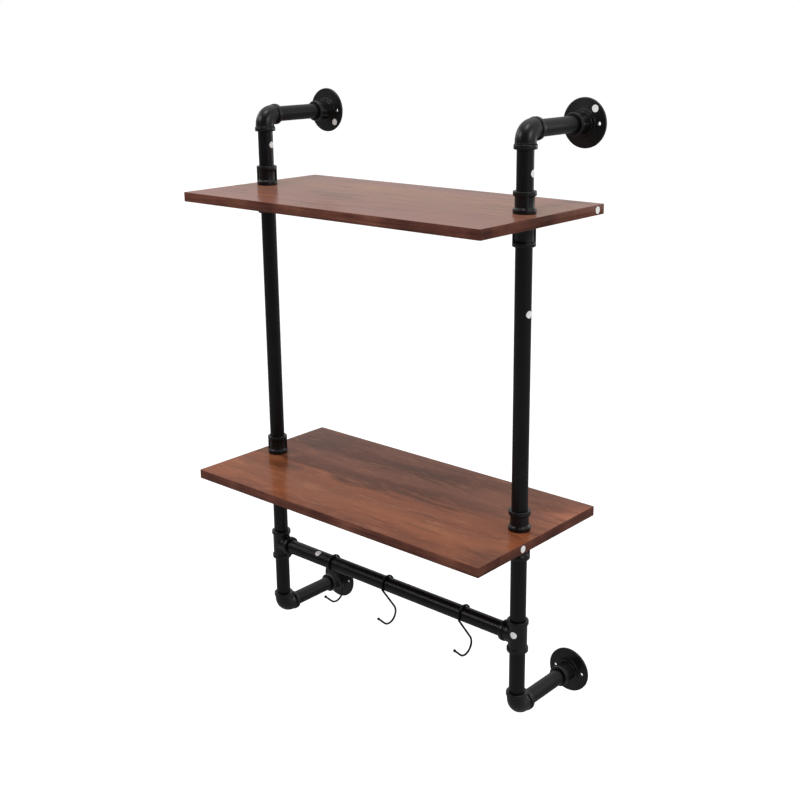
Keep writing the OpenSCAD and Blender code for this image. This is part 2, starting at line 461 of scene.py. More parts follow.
def add_node(
    tree: Tree, kind: str, inputs: dict[Any, Any] | None = None, stops: Stops = (), **settings: Any
) -> bpy.types.Node:
    """Adds a node with its settings and links.

    Args:
        tree: the material's node tree.
        kind: the node's type, without the ShaderNode before it.
        inputs: what each input gets: a value, a node's output, or a node for its first output.
        stops: a colour ramp's positions from 0 to 1, each with its hex colour.
        settings: the node's own properties.

    Returns:
        The new node.
    """
    node = tree.nodes.new(f"ShaderNode{kind}")
    for name, value in settings.items():
        setattr(node, name, value)
    for name, value in (inputs or {}).items():
        value = value.outputs[0] if isinstance(value, bpy.types.Node) else value
        if isinstance(value, Socket):
            tree.links.new(value, node.inputs[name])
        else:
            node.inputs[name].default_value = value
    for _ in stops[2:]:
        node.color_ramp.elements.new(0.5)
    for place, (position, shade) in enumerate(stops):
        node.color_ramp.elements[place].position = position
        node.color_ramp.elements[place].color = linear(shade)
    return node


@dataclass(frozen=True)
class Gloss:
    """A clear coat over a matt colour, and that colour's own roughness."""

    weight: float
    roughness: float
    ior: float
    under: float = 0.6

    def sockets(self) -> dict[str, float]:
        """What the coat sets on the shader."""
        return {
            "Roughness": self.under,
            "Specular IOR Level": 0.0,
            "Coat Weight": self.weight,
            "Coat Roughness": self.roughness,
            "Coat IOR": self.ior,
        }


@dataclass(frozen=True)
class Streaks:
    """Noise drawn out into streaks: their size along each axis, and a shift that makes layers differ."""

    size: Spot
    shift: float = 0.0
    detail: float = 4.0
    roughness: float = 0.58
    distortion: float = 0.4

    def draw(self, tree: Tree, place: Socket) -> Socket:
        """Adds the streaks.

        Args:
            tree: the material's node tree.
            place: the coordinates that they read.

        Returns:
            The noise's value.
        """
        scale = [1 / (length * MM) for length in self.size]
        drawn = add_node(tree, "Mapping", {"Vector": place, "Location": [self.shift] * 3, "Scale": scale})
        inputs = {"Vector": drawn, "Scale": 1.0, "Detail": self.detail, "Roughness": self.roughness}
        return add_node(tree, "TexNoise", inputs | {"Distortion": self.distortion}).outputs["Fac"]


@dataclass(frozen=True)
class Finish:
    """A surface of the real shelf, and the record's slot that it belongs to."""

    name: str
    slot: str

    def dress(self, tree: Tree, place: Socket) -> dict[str, Any]:
        """Adds the finish's own nodes.

        Args:
            tree: the material's node tree.
            place: the piece's own coordinates, in metres.

        Returns:
            What goes into the shader's inputs.
        """
        raise NotImplementedError

    def material(self) -> bpy.types.Material:
        """Makes the finish's material, or finds it where it is made already.

        Returns:
            The material.
        """
        made = bpy.data.materials.get(self.name)
        if made:
            return made
        made = bpy.data.materials.new(self.name)
        tree = bare_tree(made)
        place = add_node(tree, "TexCoord").outputs["Object"]
        shader = add_node(tree, "BsdfPrincipled", self.dress(tree, place))
        add_node(tree, "OutputMaterial", {"Surface": shader})
        return made


@dataclass(frozen=True)
class BlackCoat(Finish):
    """Black paint on steel pipe, on malleable iron castings or on wire.

    The pipe is drawn and smooth under it. The castings keep their mould's grain, which breaks up the gloss.
    """

    dark: str = "#060607"
    light: str = "#0f0f10"
    cloud_mm: float = 24.0
    grain_mm: float = 1.2
    grain_depth: float = 0.02
    gloss: Gloss = Gloss(0.5, 0.34, 1.45)

    def dress(self, tree: Tree, place: Socket) -> dict[str, Any]:
        """Cloudy black under a thin gloss, with the grain of the metal in the bump of both.

        Args:
            tree: the material's node tree.
            place: the piece's own coordinates, in metres.

        Returns:
            What goes into the shader's inputs.
        """
        cloudy = {"Vector": place, "Scale": 1 / (self.cloud_mm * MM), "Detail": 5.0, "Roughness": 0.6}
        clouds = add_node(tree, "TexNoise", cloudy)
        colours = {"Factor": clouds, 6: linear(self.dark), 7: linear(self.light)}
        mixed = add_node(tree, "Mix", colours, data_type="RGBA")
        grainy = {"Vector": place, "Scale": 1 / (self.grain_mm * MM), "Detail": 3.0, "Roughness": 0.55}
        grain = add_node(tree, "TexNoise", grainy)
        bump = add_node(tree, "Bump", {"Height": grain, "Strength": 0.5, "Distance": self.grain_depth * MM})
        return {"Base Color": mixed.outputs[2], "Normal": bump, "Coat Normal": bump} | self.gloss.sockets()


@dataclass(frozen=True)
class Figure:
    """A soft cloud laid into the board's colour, longer along X than across it, in millimetres: most belong
    to the print, and some on the lower board are painted light, painted shade and a painted reflection.
    """

    spot: Point
    reach: Point
    amount: float
    shade: str


@dataclass(frozen=True)
class Dashes:
    """A layer of short soft dashes in the wood print, and the values at which they begin and are full."""

    grain: Streaks
    band: Point
    amount: float
    shade: str


@dataclass(frozen=True)
class WalnutPrint(Finish):
    """Walnut-print melamine under a satin lacquer.

    The print is broad staves that run into each other, long soft streaks along X, and short paler dashes.
    On the lower board the staves also hold painted shade, darker behind the line of the upper board's
    shadow.
    The last layer is the pores, which can be felt as well as seen.
    """

    tones: Stops = ()
    figures: tuple[Figure, ...] = ()
    slant: float = 0.0
    depth_mm: float = 298.0
    wander: Streaks = Streaks((260, 60, 60), 3.7, 3.0)
    wander_mm: float = 120.0
    fray: float = 1.6
    fringe: Point = (1.8, 0.9)
    layers: tuple[Dashes, ...] = (
        Dashes(Streaks((130, 13, 13), 8.1), (0.5, 0.75), 0.56, "#482a1e"),
        Dashes(Streaks((70, 18, 18), 2.9), (0.52, 0.75), 0.5, "#9a6446"),
        Dashes(Streaks((24, 3, 3), 1.3), (0.54, 0.78), 0.44, "#ad7550"),
        Dashes(Streaks((9, 0.7, 0.7), 5.5, 2.0), (0.58, 0.75), 0.42, "#40241a"),
    )
    gloss: Gloss = Gloss(0.45, 0.2, 1.3, 0.55)

    def tint(self, tree: Tree, value: Any, band: Point, layer: Figure | Dashes, below: Any) -> Socket:
        """Lays a layer's colour over another where a value is high.

        Args:
            tree: the material's node tree.
            value: what decides.
            band: the values at which the new colour begins and is full.
            layer: what is laid on, with its colour and how much of it there is where it is full.
            below: the colour that it lies over.

        Returns:
            The mixed colour.
        """
        limits = {"Value": value, "From Min": band[0], "From Max": band[1], "To Max": layer.amount}
        amount = add_node(tree, "MapRange", limits, interpolation_type="SMOOTHSTEP")
        colours = {"Factor": amount, 6: below, 7: linear(layer.shade)}
        return add_node(tree, "Mix", colours, data_type="RGBA").outputs[2]

    def cloud(self, tree: Tree, place: Socket, wander: Socket, patch: Figure, below: Any) -> Socket:
        """Lays one soft patch, of print or of painted light and shade, into the colour, its outline frayed
        by the wandering noise.

        Args:
            tree: the material's node tree.
            place: the coordinates that it reads.
            wander: the noise that frays it.
            patch: what is laid in.
            below: the colour that it lies over.

        Returns:
            The mixed colour.
        """
        near = [1 / (reach * MM) for reach in patch.reach]
        spot = [-middle * MM * scale for middle, scale in zip(patch.spot, near)]
        moved = add_node(tree, "Mapping", {"Vector": place, "Location": (*spot, 0), "Scale": (*near, 0)})
        far = add_node(tree, "VectorMath", {0: moved}, operation="LENGTH").outputs["Value"]
        frayed = add_node(tree, "Math", {0: wander, 1: self.fray, 2: far}, operation="MULTIPLY_ADD")
        return self.tint(tree, frayed, self.fringe, patch, below)

    def dress(self, tree: Tree, place: Socket) -> dict[str, Any]:
        """Staves, soft patches of print and of painted light and shade, streaks, dashes and pores mixed
        into the colour, and the pores in the bump.

        Args:
            tree: the material's node tree.
            place: the piece's own coordinates, in metres.

        Returns:
            What goes into the shader's inputs.
        """
        way = {0: place, 1: (-self.slant, 1, 0)}
        depth = add_node(tree, "VectorMath", way, operation="DOT_PRODUCT").outputs["Value"]
        wander = self.wander.draw(tree, place)
        reach = self.wander_mm * MM
        shifted = add_node(tree, "Math", {0: wander, 1: reach, 2: depth}, operation="MULTIPLY_ADD")
        limits = {"Value": shifted, "From Min": reach / 2 - self.depth_mm * MM, "From Max": reach / 2}
        colour = add_node(tree, "ValToRGB", {"Fac": add_node(tree, "MapRange", limits)}, self.tones)
        # Print figures, and on the lower board also painted light, painted shade and a painted reflection
        for patch in self.figures:
            colour = self.cloud(tree, place, wander, patch, colour)
        for layer in self.layers:
            grain = layer.grain.draw(tree, place)
            colour = self.tint(tree, grain, layer.band, layer, colour)
        bump = add_node(tree, "Bump", {"Height": grain, "Strength": 0.06, "Distance": 0.04 * MM})
        return {"Base Color": colour, "Normal": bump} | self.gloss.sockets()


@dataclass(frozen=True)
class WalnutEdging(Finish):
    """Walnut-print melamine edging, ironed on: fine grain that runs along each edge of the board."""

    grain: Streaks = Streaks((90, 90, 1.6), 0.0, 4.0, 0.65, 0.3)
    cloud_mm: float = 60.0
    tones: Stops = ((0.36, "#442720"), (0.46, "#58342b"), (0.55, "#683f33"), (0.66, "#7a503f"))
    gloss: Gloss = Gloss(0.2, 0.3, 1.5, 0.5)

    def dress(self, tree: Tree, place: Socket) -> dict[str, Any]:
        """Lines along the edge, darker than the board's face.

        Args:
            tree: the material's node tree.
            place: the piece's own coordinates, in metres.

        Returns:
            What goes into the shader's inputs.
        """
        lines = self.grain.draw(tree, place)
        cloudy = {"Vector": place, "Scale": 1 / (self.cloud_mm * MM), "Detail": 3.0, "Roughness": 0.5}
        both = add_node(tree, "Math", {0: lines, 1: add_node(tree, "TexNoise", cloudy)}, operation="ADD")
        mean = add_node(tree, "Math", {0: both, 1: 0.5}, operation="MULTIPLY")
        colour = add_node(tree, "ValToRGB", {"Fac": mean}, self.tones)
        bump = add_node(tree, "Bump", {"Height": lines, "Strength": 0.15, "Distance": 0.05 * MM})
        return {"Base Color": colour, "Normal": bump} | self.gloss.sockets()


@dataclass(frozen=True)
class PaperLabel(Finish):
    """Uncoated white label paper, with a trace of fibre."""

    fibre_mm: float = 0.8
    tones: Stops = ((0.3, "#f2f1ee"), (0.7, "#ffffff"))

    def dress(self, tree: Tree, place: Socket) -> dict[str, Any]:
        """Fibre clouds in white.

        Args:
            tree: the material's node tree.
            place: the piece's own coordinates, in metres.

        Returns:
            What goes into the shader's inputs.
        """
        fine = {"Vector": place, "Scale": 1 / (self.fibre_mm * MM), "Detail": 4.0}
        fibre = add_node(tree, "TexNoise", fine)
        colour = add_node(tree, "ValToRGB", {"Fac": fibre}, self.tones)
        bump = add_node(tree, "Bump", {"Height": fibre, "Strength": 0.2, "Distance": 0.02 * MM})
        return {"Base Color": colour, "Normal": bump, "Roughness": 0.75}


PIPE_COAT = BlackCoat("black_pipe_paint", "black_pipe", grain_mm=0.9, grain_depth=0.01)
CAST_COAT = BlackCoat(
    "black_malleable_iron_paint",
    "black_casting",
    light="#111112",
    grain_mm=1.4,
    grain_depth=0.05,
    gloss=Gloss(0.7, 0.34, 1.45),
)
WIRE_COAT = BlackCoat(
    "black_wire_paint", "black_wire", dark="#0c0d0d", light="#141415", gloss=Gloss(0.5, 0.3, 1.45)
)
WALNUT = {
    Level.UPPER: WalnutPrint(
        "walnut_print_melamine_even",
        "walnut_laminate",
        ((0.0, "#80564a"), (0.3, "#795044"), (0.5, "#7e5746"), (0.75, "#855c48"), (1.0, "#7c554d")),
        (
            Figure((-110, -178), (90, 22), 0.45, "#6b4538"),
            Figure((-35, -262), (75, 40), 0.5, "#664136"),
            Figure((-90, -70), (60, 40), 0.4, "#8d6a44"),
        ),
    ),
    Level.LOWER: WalnutPrint(
        "walnut_print_melamine_dark_backed",
        "walnut_laminate",
        (
            # Print tones, and painted shade as well: they turn dark behind the line where the upper board's
            # shadow falls
            (0.0, "#6f3d27"), (0.08, "#81482e"), (0.22, "#864e32"), (0.34, "#78442d"), (0.44, "#80482e"),
            (0.48, "#582e1c"), (0.54, "#623625"), (0.61, "#774735"), (0.72, "#734535"), (0.77, "#5d3422"),
            (0.85, "#5f3526"), (0.92, "#6e4333"), (1.0, "#6f4536"),
        ),
        (
            # Painted light: the lower board's right end made lighter, as where light from the right falls
            # on it
            Figure((330, -60), (130, 120), 0.8, "#a5664a"),
            # Painted shade: the lower board's back left made darker, where it lies in shade
            Figure((-330, -20), (250, 150), 0.6, "#553a33"),
            Figure((295, -262), (70, 60), 0.7, "#4f2e20"),
            # Painted reflection and shade: the dark left post mirrored in the glossy lower board, and the
            # shade beside it
            Figure((-208, -192), (52, 26), 0.75, "#452413"),
            Figure((-130, -225), (190, 55), 0.6, "#6f4331"),
            Figure((190, -75), (130, 90), 0.5, "#8a5640"),
        ),
        # The staves lean by this slant so that their dark band follows the upper board's shadow line
        0.05,
    ),
}
EDGING = WalnutEdging("walnut_print_edging", "edge_banding")
PAPER = PaperLabel("white_label_paper", "paper_dot")


# Sub-assemblies


@dataclass
class SubAssembly:
    """A set of pieces that is built together and dressed piece by piece."""

    frame: dict[str, Any]
    made: list[Piece] = field(default_factory=list)

    def centre(self, node: str) -> Vector:
        """Middle of a CAD node's box at rest, in millimetres."""
        low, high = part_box(node)
        return (low + high) / 2 / MM

    def corners(self, node: str) -> tuple[Vector, Vector]:
        """Lowest and highest corner of a CAD node's box at rest, in millimetres."""
        low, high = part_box(node)
        return low / MM, high / MM

    def hang(self, piece: Piece, node: str, finish: Finish) -> None:
        """Gives a piece its finish and its body, and lets it stand for its CAD node.

        Args:
            piece: the finished mesh.
            node: the CAD node that it replaces.
            finish: its material.
        """
        piece.data.materials.clear()
        piece.data.materials.append(finish.material())
        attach(piece, self.frame["nodes"][node]["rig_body"])
        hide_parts(node)
        self.made.append(piece)
        log.info("%s: %d faces, for %s", piece.name, len(piece.data.polygons), node)


@dataclass
class Boards(SubAssembly):
    """The two boards, each a core with post holes inside a glued-on edging."""

    edging: float = 1.0
    corner: float = 2.0
    corner_steps: int = 5
    core_steps: int = 3
    hole: float = 13.0
    hole_sides: int = 64
    arris: float = 0.35
    arris_steps: int = 2
    skin: float = 0.02
    faces_up: float = 0.9

    def slab(self, name: str, node: str, radius: float, steps: int) -> Piece:
        """A block that fills a CAD node's box, its upright corners rounded.

        Args:
            name: the new object's name.
            node: the CAD node.
            radius: the corners' radius.
            steps: faces across each corner.

        Returns:
            The new object.
        """
        low, high = self.corners(node)
        piece = block(name, (low + high) / 2, high - low)
        soften_edges(piece, lambda a, b: abs(a.z - b.z) > MM, radius, steps)
        return piece

    def core(self, level: Level) -> Piece:
        """The board inside its edging, with its post holes cut.

        Args:
            level: which board.

        Returns:
            The finished object.
        """
        node = f"{level.label}_board"
        piece = self.slab(f"{node}_walnut", node, self.corner - self.edging, self.core_steps)
        low, high = self.corners(node)
        for side in Side:
            axis = self.centre(f"{side.label}_long_pipe")
            start = Vector((axis.x, axis.y, low.z - LAP))
            length = high.z - low.z + 2 * LAP
            carve(piece, rod(start, Z_AXIS, self.hole, length, self.hole_sides), Cut.AWAY)
        return finish_mesh(piece)

    def band(self, level: Level) -> Piece:
        """The edging, a thin wall all round the board with eased arrises.

        Args:
            level: which board.

        Returns:
            The finished object.
        """
        node = f"{level.label}_edge_band"
        piece = self.slab(f"{level.label}_edging_strip", node, self.corner, self.corner_steps)
        pick_up(piece)
        bpy.ops.object.mode_set(mode="EDIT")
        bpy.ops.mesh.select_mode(type="FACE")
        bpy.ops.mesh.select_all(action="DESELECT")
        mesh = bmesh.from_edit_mesh(piece.data)
        mesh.normal_update()
        for face in mesh.faces:
            face.select_set(abs(face.normal.z) > self.faces_up)
        bmesh.update_edit_mesh(piece.data)
        bpy.ops.mesh.delete(type="ONLY_FACE")
        bpy.ops.object.mode_set(mode="OBJECT")
        wall = piece.modifiers.new("wall", "SOLIDIFY")
        wall.thickness = self.edging * MM
        wall.offset = -1
        wall.use_even_offset = True
        bpy.ops.object.modifier_apply(modifier=wall.name)
        low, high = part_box(node)
        skin, corner = self.skin * MM, self.corner * MM

        def outer(point: Vector) -> bool:
            """Whether a point lies on the edging's outer skin.

            Args:
                point: a corner of the mesh, in metres.

            Returns:
                True on the four outer faces and the rounded corners between them.
            """
            if min(abs(abs(point.x) - high.x), abs(point.y - low.y), abs(point.y - high.y)) < skin:
                return True
            front = point.y < (low.y + high.y) / 2
            bend = (math.copysign(high.x - corner, point.x), low.y + corner if front else high.y - corner)
            return (point.xy - Vector(bend)).length > corner - skin

        def arris(a: Vector, b: Vector) -> bool:
            """Whether an edge runs along the top or the bottom of that skin."""
            return abs(a.z - b.z) < skin and outer(a) and outer(b)

        soften_edges(piece, arris, self.arris, self.arris_steps)
        return finish_mesh(piece)

    def build(self) -> None:
        """Makes both boards and their edgings."""
        for level in Level:
            self.hang(self.core(level), f"{level.label}_board", WALNUT[level])
            self.hang(self.band(level), f"{level.label}_edge_band", EDGING)


@dataclass
class Pipes(SubAssembly):
    """All the lengths of pipe: risers, posts, arms, nipples and the rail."""

    radius: float = 12.5
    wall: float = 2.8
    bevel: float = 0.8

    def lay(self, node: str, axis: Vector) -> None:
        """Makes one pipe from end to end of its CAD node's box, its ends bevelled, open right through.

        Args:
            node: the CAD node.
            axis: the way that it points.
        """
        low, high = self.corners(node)
        length = (high - low).dot(axis)
        start = (low + high) / 2 - axis * length / 2
        bore, face = self.radius - self.wall, self.radius - self.bevel
        outside = [(face, 0), (self.radius, self.bevel), (self.radius, length - self.bevel), (face, length)]
        walk = RingWalk(f"{node}_tube", start, axis, bore).follow(outside + [(bore, length)])
        self.hang(walk.close().done(), node, PIPE_COAT)

    def build(self) -> None:
        """Makes every pipe."""
        for side in Side:
            for kind in ("riser", "long_pipe", "short_pipe", "drop_pipe"):
                self.lay(f"{side.label}_{kind}", Z_AXIS)
            for level in Level:
                self.lay(f"{level.label}_{side.label}_nipple", Z_AXIS)
                self.lay(f"{level.label}_{side.label}_arm", Y_AXIS)
        self.lay("towel_bar", X_AXIS)


# Where a coupling's ribs ended up when it was screwed home, in degrees from +X
RIB_TURN = 41
RIB_TURNS = {"upper_right_coupling_above": -44, "lower_right_coupling_above": -68}


@dataclass
class Fittings(SubAssembly):
    """Couplings, elbows, tees and wall flanges, all cast, each with a bead round its mouths."""

    socket: float = 12.6
    passage: float = 9.7
    bead: float = 17.0
    bead_len: float = 7.0
    bead_round: float = 1.2
    bead_step: float = 0.4
    bead_taper: float = 2.0
    fillet: float = 0.8
    fillet_start: float = 235.0
    fillet_steps: int = 3
    coupling_len: float = 32.0
    waist: float = 14.25
    rib: float = 4.0
    rib_reach: float = 16.8
    rib_round: float = 1.0
    elbow: float = 15.5
    elbow_leg: float = 10.5
    elbow_bend: float = 16.0
    elbow_rings: int = 18
    tee: float = 15.0
    tee_reach: float = 26.5
    tee_leg: float = 11.5
    crotch: float = 1.6
    crotch_steps: int = 4
    crotch_side: float = 2.5
    plate: float = 37.25
    plate_t: float = 4.0
    plate_ease: float = 0.5
    plate_rim: float = 1.2
    plate_fillet: float = 1.0
    foot: float = 20.0
    foot_t: float = 3.0
    foot_ease: float = 0.6
    hub: float = 15.6
    hub_len: float = 34.0
    hub_fillet: float = 1.2
    ring: float = 26.0
    hole: float = 3.0
    hole_sides: int = 32
    wide_sides: int = 96

    def mouth(self, body: float) -> list[Point]:
        """Section of a bead from the mouth's face, at height 0, up to the body.

        Args:
            body: radius of the body behind it.

        Returns:
            Points as (radius, height) in millimetres.
        """
        flat, turn = self.bead - self.bead_round, self.bead_round
        taper = (body + self.fillet, self.bead_len + self.bead_taper)
        return (
            arc((flat, turn), turn, -90, 0)
            + arc((flat, self.bead_len - turn), turn, 0, 90)
            + [(flat - self.bead_step, self.bead_len)]
            + arc(taper, self.fillet, self.fillet_start, 180, self.fillet_steps)
        )

    def make_coupling(self) -> Piece:
        """A coupling on Z = 0, slimmer between its beads, with two ribs there, toward +X and -X.

        Returns:
            The finished object.
        """
        mouth = self.mouth(self.waist)
        section = [(self.socket, 0.0)] + mouth + flipped(mouth, self.coupling_len)
        piece = turned("coupling_master", section + [(self.socket, self.coupling_len)])
        inner = self.waist - LAP
        length = self.coupling_len - 2 * self.bead_len + 2 * LAP
        outer = (self.rib_reach - NEAR) * MM

        def crest(a: Vector, b: Vector) -> bool:
            """Whether an edge of a rib stands upright on its outer face."""
            return min(abs(a.x), abs(b.x)) > outer and abs(a.z - b.z) > MM

        for turn in (-1, 1):
            middle = Vector((turn * (inner + self.rib_reach) / 2, 0, self.coupling_len / 2))
            rib = block("rib", middle, Vector((self.rib_reach - inner, self.rib, length)))
            soften_edges(rib, crest, self.rib_round, self.fillet_steps)
            carve(piece, rib, Cut.JOIN)
        return finish_mesh(piece)

    def make_flange(self) -> Piece:
        """A wall flange on Z = 0 with its hub pointing up and two screw holes.

        Returns:
            The finished object.
        """
        rim, ease, base = self.plate_rim, self.foot_ease, self.plate_t + self.foot_t
        foot = (self.foot + self.plate_fillet, self.plate_t + self.plate_fillet)
        section = (
            [(self.socket, 0.0), (self.plate - self.plate_ease, 0.0), (self.plate, self.plate_ease)]
            + arc((self.plate - rim, self.plate_t - rim), rim, 0, 90)
            + arc(foot, self.plate_fillet, 270, 180, self.fillet_steps)
            + arc((self.foot - ease, base - ease), ease, 0, 90, self.fillet_steps)
            + arc((self.hub + self.hub_fillet, base + self.hub_fillet), self.hub_fillet, 270, 180)
            + flipped(self.mouth(self.hub), self.hub_len)
            + [(self.socket, self.hub_len)]
        )
        piece = turned("flange_master", section, self.wide_sides)
        for turn in (-1, 1):
            start = Vector((turn * self.ring, 0, -LAP))
            carve(piece, rod(start, Z_AXIS, self.hole, self.plate_t + 2 * LAP, self.hole_sides), Cut.AWAY)
        return finish_mesh(piece)

    def make_elbow(self) -> Piece:
        """An elbow round its own centre, one mouth down and one toward the wall, with its bore.

        Returns:
            The finished object.
        """
        reach = self.elbow_bend + self.elbow_leg
        pivot = Vector((0, self.elbow_bend, -self.elbow_bend))
        mouth = self.mouth(self.elbow)
        walk = RingWalk("elbow_master", Vector((0, 0, -reach)), Z_AXIS, self.socket)
        walk.follow(mouth + [(self.elbow, self.elbow_leg)])
        walk.bend(-90, pivot, X_AXIS, self.elbow_rings)
        walk.follow(flipped(mouth, self.elbow_leg) + [(self.socket, self.elbow_leg)])
        walk.step(self.socket, -self.elbow_leg).step(self.passage)
        walk.bend(90, pivot, X_AXIS, self.elbow_rings)
        return walk.step(self.socket).close().done()

    def make_tee(self) -> Piece:
        """A tee round its own centre, its run upright and its branch toward -X.

        Returns:
            The finished object.
        """
        mouth = self.mouth(self.tee)
        face = mouth[0][0]
        foot, start = Vector((0, 0, -self.tee_reach)), Vector((-self.tee_reach, 0, 0))
        run = RingWalk("tee_master", foot, Z_AXIS, face, self.wide_sides)
        body = run.follow(mouth[1:] + flipped(mouth, 2 * self.tee_reach)).cap().done()
        branch = RingWalk("tee_branch", start, X_AXIS, face, self.wide_sides)
        carve(body, branch.follow(mouth[1:] + [(self.tee, self.tee_reach)]).cap().done(), Cut.JOIN)
        soften_edges(body, self.on_crotch, self.crotch, self.crotch_steps)
        finish_mesh(body)
        for spot, heading in ((foot, Z_AXIS), (-foot, -Z_AXIS), (start, X_AXIS)):
            carve(body, rod(spot - heading * LAP, heading, self.socket, self.tee_leg + LAP), Cut.AWAY)
        depth = self.tee_reach - self.tee_leg + LAP
        for heading, length in ((Z_AXIS, 2 * depth), (X_AXIS, depth)):
            carve(body, rod(-heading * depth, heading, self.passage, length), Cut.AWAY)
        return finish_mesh(body)

    def on_crotch(self, a: Vector, b: Vector) -> bool:
        """Whether an edge lies where the tee's branch leaves its run.

        Args:
            a: one end in metres.
            b: the other end in metres.

        Returns:
            True on the two half ellipses where the cylinders cross.
        """
        for point in (a, b):
            across = abs(abs(point.z) + point.x)
            round_run = abs(point.xy.length - self.tee * MM)
            if max(across, round_run) > NEAR * MM or point.x > -self.crotch_side * MM:
                return False
        return True

    def build(self) -> None:
        """Makes each casting once and puts its copies in place."""
        coupling, flange = self.make_coupling(), self.make_flange()
        elbow, tee = self.make_elbow(), self.make_tee()
        places: list[tuple[Piece, str, Spot, float, str]] = []
        for side in Side:
            x, y = self.centre(f"{side.label}_long_pipe").xy
            node = f"{side.label}_tee"
            turn = 0 if side is Side.RIGHT else 180
            places.append((tee, node, (x, y, self.centre(node).z), turn, "Z"))
            for level in Level:
                name = f"{level.label}_{side.label}"
                height = self.centre(f"{name}_arm").z
                turn = 0 if level is Level.UPPER else 180
                places.append((flange, f"{name}_flange", (x, 0, height), 90, "X"))
                places.append((elbow, f"{name}_elbow", (x, y, height), turn, "Y"))
                for node in (f"{name}_coupling_above", f"{name}_coupling_below"):
                    foot = (x, y, self.corners(node)[0].z)
                    places.append((coupling, node, foot, RIB_TURNS.get(node, RIB_TURN), "Z"))
        for master, node, spot, turn, axis in places:
            self.hang(copy_of(master, f"{node}_casting", Vector(spot), turn, axis), node, CAST_COAT)
        for master in (coupling, flange, elbow, tee):
            bpy.data.objects.remove(master)


@dataclass
class Hooks(SubAssembly):
    """Three S-hooks of one bent wire each, with a straight lip and a ball on its tip."""

    wire: float = 3.5
    curl: float = 14.55
    curl_end: float = 15.0
    bowl: float = 17.0
    bowl_drop: float = 57.5
    bowl_back: float = 2.6
    lip: float = 20.0
    lip_rise: float = 43.0
    ball: float = 5.2
    ball_end: float = 174.0
    blunt: float = 0.25
    sides: int = 20
    end_rings: int = 5
    curl_rings: int = 44
    bowl_rings: int = 40
    ball_rings: int = 11

    def bent_wire(self) -> Piece:
        """One hook round the rail's axis, in the plane X = 0, bent from end to ball.

        Returns:
            The finished object.
        """
        radius = self.wire / 2
        span = math.hypot(self.bowl_back, self.bowl_drop)
        tangent = math.asin((self.curl + self.bowl) / span)
        lean = math.degrees(tangent + math.atan2(self.bowl_back, self.bowl_drop))
        straight = math.sqrt(span**2 - (self.curl + self.bowl) ** 2)
        end = math.radians(self.curl_end)
        heading = Vector((0, -math.sin(end), math.cos(end)))
        tail = Vector((0, math.cos(end), math.sin(end))) * self.curl - heading * radius
        walk = RingWalk("hook_master", tail, heading, self.blunt, self.sides)
        for step in range(2, self.end_rings + 1):
            angle = math.radians(90 * step / self.end_rings)
            height = radius * (1 - math.cos(angle))
            walk.step(radius * math.sin(angle), height - (walk.centre - tail).dot(heading))
        walk.bend(180 - self.curl_end + lean, ORIGIN, X_AXIS, self.curl_rings)
        walk.step(radius, straight)
        bowl_centre = Vector((0, self.bowl_back, -self.bowl_drop))
        walk.bend(-90 - self.lip_rise - lean, bowl_centre, X_AXIS, self.bowl_rings)
        ball = self.ball / 2
        neck = math.asin(radius / ball)
        travelled = -ball * math.cos(neck)
        walk.step(radius, self.lip + travelled)
        for step in range(1, self.ball_rings + 1):
            angle = neck + (math.radians(self.ball_end) - neck) * step / self.ball_rings
            height = -ball * math.cos(angle)
            walk.step(ball * math.sin(angle), height - travelled)
            travelled = height
        return walk.cap().done()

    def build(self) -> None:
        """Makes the hook once and hangs three on the rail."""
        master = self.bent_wire()
        rail = self.centre("towel_bar")
        for name in ("hook_left", "hook_middle", "hook_right"):
            spot = Vector((self.centre(name).x, rail.y, rail.z))
            self.hang(copy_of(master, f"{name}_wire", spot), name, WIRE_COAT)
        bpy.data.objects.remove(master)


@dataclass
class Dots(SubAssembly):
    """The small round paper labels on the metal and on the boards' ends."""

    def build(self) -> None:
        """Keeps the CAD dots, whose shape is right, and gives them the paper finish."""
        node = self.frame["nodes"]["part_labels"]
        for place in node.material_slots:
            place.material = PAPER.material()
        log.info("part_labels: kept, in %s", PAPER.name)


@dataclass(frozen=True)
class SoftLamp:
    """A soft lamp, placed and aimed in metres: square and of some width, or far off where that is 0."""

    name: str
    spot: Spot
    aim: Spot
    power: float
    across: float = 0.0
    spread: float = 0.0

    def light(self) -> None:
        """Adds the lamp to the scene."""
        lamp = bpy.data.lights.new(self.name, "AREA" if self.across else "SUN")
        if self.across:
            lamp.size = self.across
        else:
            lamp.angle = math.radians(self.spread)
        lamp.energy = self.power
        holder = bpy.data.objects.new(self.name, lamp)
        holder.location = self.spot
        holder.rotation_euler = (Vector(self.aim) - Vector(self.spot)).to_track_quat("-Z", "Y").to_euler()
        bpy.context.scene.collection.objects.link(holder)


